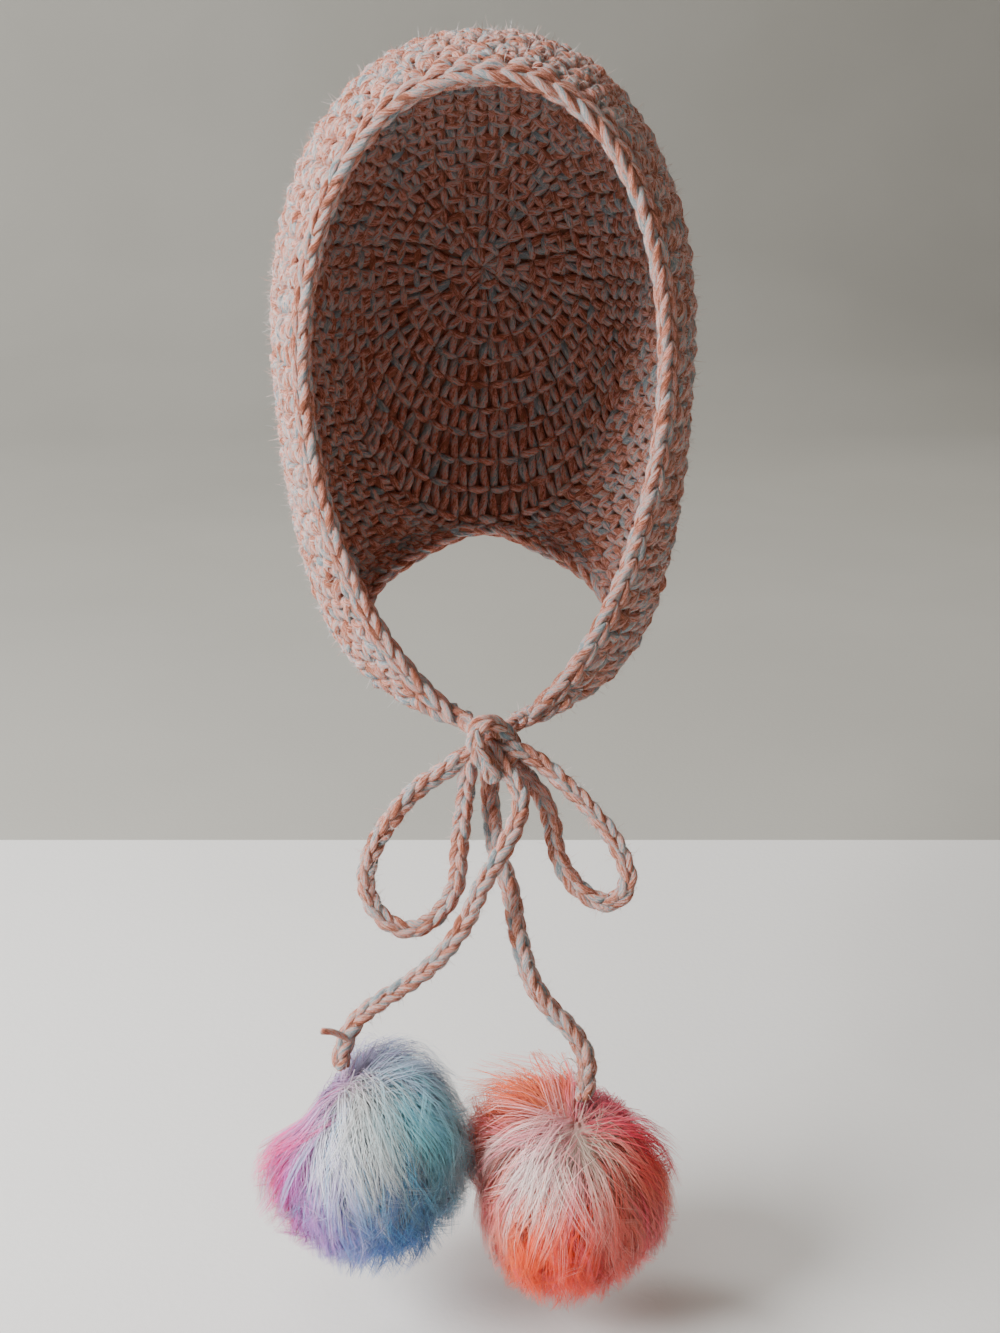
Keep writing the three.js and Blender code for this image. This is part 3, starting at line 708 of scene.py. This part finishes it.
def bow_knot(yarn):
    core = np.array(KNOT_CORE) * MM
    parts = [tubes(core[None], np.array([KNOT_CORE_RADII]) * MM, np.array([[(0, -1.0, 0)] * 4]), 10)]
    for route in (KNOT_WRAP, *KNOT_UNDER):
        line = smooth_path(route, STRAND_STEP)
        outward = unit(line[0] - np.array(KNOT_PLACE) * MM)
        thick = WRAP_THICK if route is KNOT_WRAP else UNDER_THICK
        parts += chain(line, *carried_frames(line, outward), KNOT_CHAIN, every=1, thick=thick)
    return strands_object("knot_of_the_bow", parts, yarn)


# Loose fibres that stand off the yarn


# How many, how long and how wide they are, and where they start on the hood and on a cord.
HOOD_FUZZ = (16000, 0.0036, 0.00016)
CORD_FUZZ = (3800, 0.0030, 0.00014)
HOOD_FUZZ_DEPTH, CORD_FUZZ_START = 0.0002, 0.0037


def ribbons(points, widths, facing):
    """Flat fibres from the middle lines (M, K, 3): their points and quads."""
    count, rings, _ = points.shape
    side = unit(np.cross(unit(np.gradient(points, axis=1)), facing)) * widths[..., None] / 2
    pair = np.stack([points - side, points + side], axis=2).reshape(-1, 3)
    start = np.arange(count)[:, None] * 2 * rings + np.arange(rings - 1) * 2
    return pair, np.stack([start, start + 1, start + 3, start + 2], axis=-1).reshape(-1, 4)


def fuzz(name, roots, out, length, width, material):
    """Thin fibres that curl off a surface."""
    count = len(roots)
    drift = unit(out + rng.normal(0, 0.9, (count, 3)))
    curl = unit(rng.normal(0, 1, (count, 3)))
    t = np.linspace(0, 1, 3)[None, :, None]
    size = length * rng.uniform(0.4, 1.2, (count, 1, 1))
    points = roots[:, None] + (drift[:, None] + curl[:, None] * t * 0.7) * t * size
    widths = np.broadcast_to(width * np.array([1.0, 0.8, 0.3]), points.shape[:2])
    pair, quads = ribbons(points, widths, curl[:, None] + 0.01)
    seeds = np.repeat(rng.random(count), 6)
    vectors = np.stack([np.zeros_like(seeds), np.zeros_like(seeds), seeds], axis=1)
    return mesh_object(name, pair, quads, material, vectors=vectors)


def hood_fuzz(shell, material):
    count, length, width = HOOD_FUZZ
    roots, out = shell.at(np.sqrt(rng.random(count)), rng.uniform(-1, 1, count), HOOD_FUZZ_DEPTH)
    return fuzz("hood_fuzz", roots, out, length, width, material)


def cord_fuzz(name, line, material):
    count, length, width = CORD_FUZZ
    pick = rng.integers(0, len(line), count)
    out = unit(rng.normal(0, 1, (count, 3)))
    return fuzz(name, line[pick] + out * CORD_FUZZ_START, out, length, width, material)


# The pompoms


# A zone of fur is its direction from the middle as the photograph shows it (right, up, towards the
# viewer), the colour there, its share against the other zones and the length of its hair.
LEFT_ZONES = [
    ((0.05, 0, 1), (0.76, 0.75, 0.7), 1.3, 1),
    ((-0.1, 0.45, 0.88), (0.64, 0.61, 0.57), 1, 1),
    ((-0.38, -0.32, 0.86), (0.72, 0.76, 0.88), 1, 1),
    ((0.1, -0.35, 0.93), (0.7, 0.7, 0.68), 0.9, 1),
    ((0.17, 0.95, 0.2), (0.42, 0.4, 0.64), 1, 1.07),
    ((-0.53, 0.64, 0.5), (0.52, 0.2, 0.42), 0.4, 0.78),
    ((-0.72, 0.27, 0.55), (0.52, 0.33, 0.66), 1, 0.84),
    ((-0.95, -0.16, 0.2), (0.85, 0.01, 0.2), 1.7, 1.24),
    ((-0.8, 0.58, 0.1), (0.46, 0.28, 0.6), 3, 0.66),
    ((-0.68, -0.52, 0.45), (0.54, 0.15, 0.56), 1.6, 1),
    ((-0.28, -0.78, 0.45), (0.32, 0.27, 0.6), 1, 1),
    ((0.17, -0.88, 0.4), (0.1, 0.28, 0.66), 1, 1.03),
    ((0.42, -0.6, 0.58), (0.004, 0.035, 0.11), 1.1, 0.95),
    ((0.8, -0.36, 0.45), (0.26, 0.46, 0.54), 1, 1),
    ((0.6, 0.14, 0.78), (0.22, 0.7, 0.8), 1.4, 1),
    ((0.95, 0.15, 0.15), (0.34, 0.54, 0.62), 0.9, 1),
    ((0.57, 0.64, 0.5), (0.4, 0.5, 0.66), 1, 1),
    ((0.16, 0.2, 0.95), (0.26, 0.64, 0.82), 0.7, 1),
    ((-0.5, 0.1, -0.9), (0.5, 0.34, 0.62), 1.2, 1),
    ((0.5, -0.2, -0.8), (0.18, 0.42, 0.62), 1.2, 1)]
RIGHT_ZONES = [
    ((0.05, 0.1, 1), (0.82, 0.71, 0.6), 1, 1),
    ((0.32, 0.25, 0.92), (0.74, 0.62, 0.48), 1, 1),
    ((-0.7, 0.12, 0.7), (0.84, 0.76, 0.74), 1, 1),
    ((-0.45, -0.12, 0.9), (0.9, 0.83, 0.8), 1.3, 1),
    ((-0.35, 0.95, 0.1), (0.9, 0.17, 0.03), 1.2, 1.16),
    ((-0.74, 0.68, 0.02), (0.92, 0.13, 0.02), 2.4, 1.46),
    ((-0.68, 0.62, 0.4), (0.9, 0.26, 0.25), 0.9, 1.05),
    ((-0.42, 0.38, 0.82), (0.95, 0.24, 0.32), 0.8, 1),
    ((-0.92, -0.33, 0.25), (0.88, 0.32, 0.26), 0.9, 0.98),
    ((-0.62, -0.62, 0.46), (1, 0.12, 0.015), 1.8, 1.03),
    ((-0.12, -0.84, 0.52), (1, 0.06, 0.015), 2.1, 1),
    ((0.4, -0.75, 0.5), (0.9, 0.17, 0.15), 1, 0.91),
    ((0.2, -0.36, 0.9), (0.96, 0.28, 0.3), 0.8, 1),
    ((0.62, -0.45, 0.62), (0.5, 0.11, 0.02), 1.1, 0.91),
    ((0.82, -0.27, 0.45), (0.92, 0.18, 0.32), 0.9, 1.05),
    ((0.86, -0.1, 0.42), (0.7, 0.3, 0.01), 1, 1),
    ((0.78, 0.4, 0.42), (0.74, 0.001, 0.05), 3, 1.1),
    ((0.88, 0.2, 0.42), (0.82, 0.02, 0.06), 1.6, 1.03),
    ((0.45, 0.87, 0.25), (0.9, 0.16, 0.28), 1.1, 0.96),
    ((0.68, 0.74, 0.12), (0.86, 0.07, 0.17), 2.2, 0.76),
    ((-0.4, 0, -0.9), (0.86, 0.24, 0.18), 1.2, 1),
    ((0.5, -0.3, -0.8), (0.84, 0.3, 0.3), 1, 1)]
# Each pompom's middle in mm, the direction of its parting, the colour of its odd locks, its zones.
POMPOMS = {
    "pompom_left": ((-43.5, -112, -425), (-0.33, 0.71, 0.62), (0.16, 0.52, 0.78), LEFT_ZONES),
    "pompom_right": ((38.5, -114, -440), (0.02, 0.60, 0.80), (0.92, 0.10, 0.20), RIGHT_ZONES),
}
FUR_VIEW_DOWN_DEG = 37
FUR_RADIUS_X, FUR_RADIUS_Z, FUR_BALL = 0.0425, 0.0530, 0.027
LOCKS, HAIRS_A_LOCK, HAIR_LENGTH, HAIR_STEPS = 1450, 13, 0.050, 4
FUR_ROOTS, WAVE_TURN = 0.66, 1.3
DOWN = np.array([0, 0, -1])
PALE_HAIR = np.array([0.84, 0.8, 0.77])
# How much the under-hair ball is darkened beneath the long hair: painted shade.
BALL_PAINTED_SHADE = 0.62
# From a hair's root to its tip: its width, paleness, painted shade and light, and share of a streak.
HAIR_WIDTH = np.array([0.28, 0.26, 0.22, 0.17, 0.03]) * MM
HAIR_PALE = np.array([0.12, 0.05, 0, 0, 0])[:, None]
# Darkest at the root, where shade falls between the hairs, and lighter towards the tip: painted shade
# and light.
HAIR_PAINTED_SHADE_AND_LIGHT = np.array([0.62, 0.88, 1.05, 1.1, 1.12])[:, None]
HAIR_STREAK = np.array([0.2, 0.6, 1, 1, 1])[:, None]
# The share of locks that are pale or streaked, and how much.
PALE_LOCKS, STREAKED_LOCKS = (0.10, 0.25), (0.13, 0.6)


def seen_direction(parts):
    """Directions given as (right, up, towards the viewer), in the scene's own frame."""
    sin, cos = math.sin(math.radians(FUR_VIEW_DOWN_DEG)), math.cos(math.radians(FUR_VIEW_DOWN_DEG))
    return unit(np.array(parts) @ np.array([(1, 0, 0), (0, sin, cos), (0, -cos, sin)]))


def even_directions(count):
    """Directions spread evenly over a ball."""
    i = np.arange(count) + 0.5
    z = 1 - 2 * i / count
    angle = math.pi * (1 + 5 ** 0.5) * i
    flat = np.sqrt(1 - z * z)
    return np.stack([flat * np.cos(angle), flat * np.sin(angle), z], axis=1)


def fur_reach(direction):
    flat = np.hypot(direction[:, 0], direction[:, 1])
    return 1 / np.hypot(flat / FUR_RADIUS_X, direction[:, 2] / FUR_RADIUS_Z)


def zone_blend(look, zones, column, sharpness=18.0):
    """A number or colour of the zones, blended at each direction of look."""
    directions = seen_direction([zone[0] for zone in zones])
    pull = np.array([zone[2] for zone in zones])
    weight = np.exp(sharpness * (look @ directions.T - 1)) * pull
    weight /= weight.sum(axis=1, keepdims=True)
    return weight @ np.array([zone[column] for zone in zones])


def hair_paths(root, parting, swing, wave, length, share):
    """Middle lines of hairs that are combed away from the parting, lie along the ball and hang."""
    direction = root
    points = [root * fur_reach(root)[:, None] * FUR_ROOTS]
    for k in range(1, HAIR_STEPS + 1):
        combed = unit(direction - parting * (direction @ parting)[:, None] + 0.2 * swing)
        flow = combed + 0.75 * DOWN + swing + wave * math.cos(k * WAVE_TURN)
        flow = unit(flow - direction * (flow * direction).sum(axis=1)[:, None])
        below = np.clip(direction @ DOWN, 0, 1)[:, None]
        step = (length / HAIR_STEPS / FUR_RADIUS_X)[:, None] * (1 - 0.8 * below ** 2)
        direction = unit(direction + flow * step)
        t = k / HAIR_STEPS
        tall = FUR_ROOTS + (share - FUR_ROOTS) * t ** (0.6 + 0.5 * below[:, 0])
        points.append(direction * (fur_reach(direction) * tall)[:, None])
    return np.stack(points, axis=1)


def groomed_hair(parting, zones):
    """The hairs' middle lines, each drawn towards the guide hair of its lock, and their locks."""
    hairs = LOCKS * HAIRS_A_LOCK
    lock = np.repeat(np.arange(LOCKS), HAIRS_A_LOCK)
    guide = unit(even_directions(LOCKS) + rng.normal(0, 0.03, (LOCKS, 3)))
    root = unit(guide[lock] + rng.normal(0, 0.055, (hairs, 3)))
    swing = rng.normal(0, 0.26, (LOCKS, 3))
    wave = rng.normal(0, 0.30, (LOCKS, 3))
    share = rng.uniform(0.82, 1.05, LOCKS)
    length = HAIR_LENGTH * rng.uniform(0.75, 1.15, LOCKS)
    stray = np.where(rng.random(hairs) < 0.07, 3.5, 1.0)
    own_swing = swing[lock] + rng.normal(0, 0.10, (hairs, 3)) * stray[:, None]
    own_share = share[lock] + rng.normal(0, 0.022, hairs) * stray
    lead = hair_paths(guide, parting, swing, wave, length, share)[lock]
    own_length = length[lock] * rng.uniform(0.7, 1.05, hairs)
    own = hair_paths(root, parting, own_swing, wave[lock], own_length, own_share)
    t = np.linspace(0, 1, HAIR_STEPS + 1)[:, None]
    gather = rng.uniform(0.4, 0.95, (hairs, 1, 1)) * t
    points = own * (1 - gather) + lead * gather
    reach = zone_blend(unit(points).reshape(-1, 3), zones, 3).reshape(hairs, -1, 1)
    return points * (1 + (reach - 1) * np.sqrt(t)), lock


def some_locks(share, amount, lock):
    """The amount for each hair of a share of the locks, and 0 for the others."""
    return np.where(rng.random(LOCKS) < share, amount, 0.0)[lock][:, None, None]


def hair_tints(points, lock, zones, streak_colour):
    """The colours along each hair, which strays a little from its zone, with painted shade towards the
    root.
    """
    hairs = len(points)
    direction = unit(points)
    drift = rng.normal(0, 0.12, (LOCKS, 3))[lock][:, None] + rng.normal(0, 0.05, (hairs, 1, 3))
    ahead = np.clip(rng.normal(0.25, 0.30, LOCKS)[lock] + rng.normal(0, 0.12, hairs), -0.4, 0.9)
    look = unit(direction + ahead[:, None, None] * (direction[:, -1:] - direction) + drift)
    colour = zone_blend(look.reshape(-1, 3), zones, 1).reshape(points.shape)
    pale = some_locks(*PALE_LOCKS, lock) + HAIR_PALE
    colour = colour * (1 - pale) + pale * PALE_HAIR
    streak = some_locks(*STREAKED_LOCKS, lock) * HAIR_STREAK
    colour = colour * (1 - streak) + streak * np.array(streak_colour)
    bright = rng.uniform(0.91, 1.09, LOCKS)[lock] * rng.uniform(0.90, 1.10, hairs)
    shade = HAIR_PAINTED_SHADE_AND_LIGHT * bright[:, None, None]
    tint = np.concatenate([colour * shade, np.ones((hairs, HAIR_STEPS + 1, 1))], axis=2)
    return np.clip(np.repeat(tint, 2, axis=1).reshape(-1, 4), 0, 1)


def pompom(name, place, parting, streak, zones, material):
    """Long silky hair in locks that is parted at the cord, falls over the ball and hangs."""
    middle = np.array(place) * MM
    points, lock = groomed_hair(seen_direction(parting), zones)
    width = HAIR_WIDTH * rng.uniform(0.6, 1.2, (len(points), 1))
    facing = unit(points) + rng.normal(0, 0.12, (len(points), 1, 3))
    pair, quads = ribbons(points + middle, width, facing)
    tint = hair_tints(points, lock, zones, streak)
    return (mesh_object(name + "_fur", pair, quads, material, colours=tint),
            fur_ball(name, middle, zones, material))


def fur_ball(name, middle, zones, material):
    """The round ball of short under-hair beneath the long hair, darkened with painted shade."""
    rings, sides = 33, 48
    polar = np.linspace(0.0, math.pi, rings)[:, None]
    angle = np.linspace(0, 2 * math.pi, sides, endpoint=False)[None]
    ball = np.stack(np.broadcast_arrays(np.sin(polar) * np.cos(angle), np.sin(polar) * np.sin(angle),
                                        np.cos(polar)), axis=-1).reshape(-1, 3)
    tall = fur_reach(ball) / FUR_RADIUS_X * FUR_BALL * (1 + rng.normal(0, 0.03, len(ball)))
    i, j = np.meshgrid(np.arange(rings - 1), np.arange(sides), indexing="ij")
    a, b = i * sides + j, i * sides + (j + 1) % sides
    quads = np.stack([a, a + sides, b + sides, b], axis=-1).reshape(-1, 4)
    tint = zone_blend(ball, zones, 1) * BALL_PAINTED_SHADE
    tint = np.concatenate([tint, np.ones((len(ball), 1))], axis=1)
    return mesh_object(name + "_ball", middle + ball * tall[:, None], quads, material, colours=tint)


# The room


FLOOR_Z, FLOOR_END_Y, ROOM = -0.506, 0.348, 4.0
# The backdrop starts where the pale floor ends, lies flat, and then turns up: place and height.
BACKDROP = [(FLOOR_END_Y, FLOOR_Z), (1.4, FLOOR_Z), (1.9, -0.49), (2.25, -0.40), (2.5, -0.22),
            (2.65, 0.05), (2.7, 0.4), (2.7, ROOM)]
# Each light's name, place, target, size, power in watts and colour.
LIGHTS = [
    ("key", (-1.05, -0.56, 0.42), (0, 0, -0.2), 0.7, 38, (1, 0.99, 0.98)),
    ("fill", (1.3, -1.2, 0), (0, 0, -0.2), 1.4, 1.1, (1, 0.7, 0.46)),
    ("top", (-0.4, -0.3, 1.4), (0, 0, -0.2), 1.2, 7.5, (1, 0.98, 0.95)),
    ("behind", (0.9, 1.5, 0.9), (0, 0, -0.1), 1, 11, (1, 0.96, 0.9)),
    ("backdrop_light", (-2.2, 0.9, 1.6), (0, 2.5, 0.2), 1.2, 70, (1, 0.99, 0.97)),
]
AIR_COLOUR, AIR_LIGHT = (1, 0.8, 0.6, 1), 0.11


def plain_surface(name, light, dark, points, quads):
    n = Nodes(name)
    place = n.place()
    mottle = n.noise(place, 3.0, 4.0)
    grain = n.noise(place, 300.0, 3.0)
    material = n.finished(n.ramp(mottle, [(0.3, dark), (0.7, light)]),
                          {"Roughness": 0.9, "Specular IOR Level": 0.2}, (grain, 0.15, 0.001))
    mesh_object(name, np.array(points), np.array(quads), material)


def floor_and_backdrop():
    plain_surface("floor", (0.80, 0.80, 0.79), (0.76, 0.76, 0.75), [
        (-ROOM, -ROOM, FLOOR_Z), (ROOM, -ROOM, FLOOR_Z), (ROOM, FLOOR_END_Y, FLOOR_Z),
        (-ROOM, FLOOR_END_Y, FLOOR_Z)], [(0, 1, 2, 3)])
    points = [(x, y, z) for y, z in BACKDROP for x in (-ROOM, ROOM)]
    quads = [(2 * k, 2 * k + 1, 2 * k + 3, 2 * k + 2) for k in range(len(BACKDROP) - 1)]
    plain_surface("backdrop", (0.42, 0.415, 0.385), (0.40, 0.395, 0.365), points, quads)


def add_light(name, place, target, size, power, colour):
    data = bpy.data.lights.new(name, "AREA")
    data.shape = "DISK"
    data.size = size
    data.energy = power
    data.color = colour
    light = bpy.data.objects.new(name, data)
    light.location = place
    light.rotation_euler = (Vector(target) - Vector(place)).to_track_quat("-Z", "Y").to_euler()
    bpy.context.collection.objects.link(light)


def light_the_room():
    for light in LIGHTS:
        add_light(*light)
    world = bpy.data.worlds.new("room")
    bpy.context.scene.world = world
    world.use_nodes = True
    air = world.node_tree.nodes["Background"]
    air.inputs["Color"].default_value = AIR_COLOUR
    air.inputs["Strength"].default_value = AIR_LIGHT


def main():
    place_camera()
    yarn = yarn_material("marled_yarn")
    # The cord yarn is a lighter copy of the yarn, painted light; the edge and lining yarns are darker
    # copies, painted shade.
    cord_yarn = yarn_material("marled_cord_yarn_painted_light", 1.03)
    edge_yarn = yarn_material("marled_edge_yarn_painted_shade", 0.97)
    lining_yarn = yarn_material("marled_lining_yarn_painted_shade", 0.95)
    loose = fuzz_material()

    left, left_line = crochet_cord("tie_left", ROUTE_LEFT, cord_yarn)
    right, right_line = crochet_cord("tie_right", ROUTE_RIGHT, cord_yarn)
    knot = bow_knot(cord_yarn)
    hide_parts("tie_lead_left", "bow_loop_left", "tie_tail_left")
    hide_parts("tie_lead_right", "bow_loop_right", "tie_tail_right")
    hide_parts("bow_knot")

    furs = {}
    for name, look in POMPOMS.items():
        furs[name] = pompom(name, *look, fur_material(name + "_fibres"))
        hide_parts(name)

    end = plain_strand("tie_left_yarn_end", YARN_END, YARN_END_RADIUS, cord_yarn)
    loop = plain_strand("pompom_right_clear_loop", CLEAR_LOOP, CLEAR_LOOP_RADIUS,
                        clear_thread_material())
    left_fuzz = cord_fuzz("tie_left_fuzz", left_line, loose)
    right_fuzz = cord_fuzz("tie_right_fuzz", right_line, loose)

    shell = Shell()
    backing = hood_backing(shell)
    stitches = hood_stitches(shell, yarn, lining_yarn)
    edge = face_edge(shell, edge_yarn)
    neck = neck_edge(shell, yarn)
    halo = hood_fuzz(shell, loose)
    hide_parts("hood")
    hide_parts("face_edge")

    cord_pieces = (left, right, knot, left_fuzz, right_fuzz, end, loop)
    for piece in (*cord_pieces, backing, *stitches, edge, neck, halo, *furs["pompom_left"],
                  *furs["pompom_right"]):
        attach(piece, "root")

    floor_and_backdrop()
    light_the_room()


main()
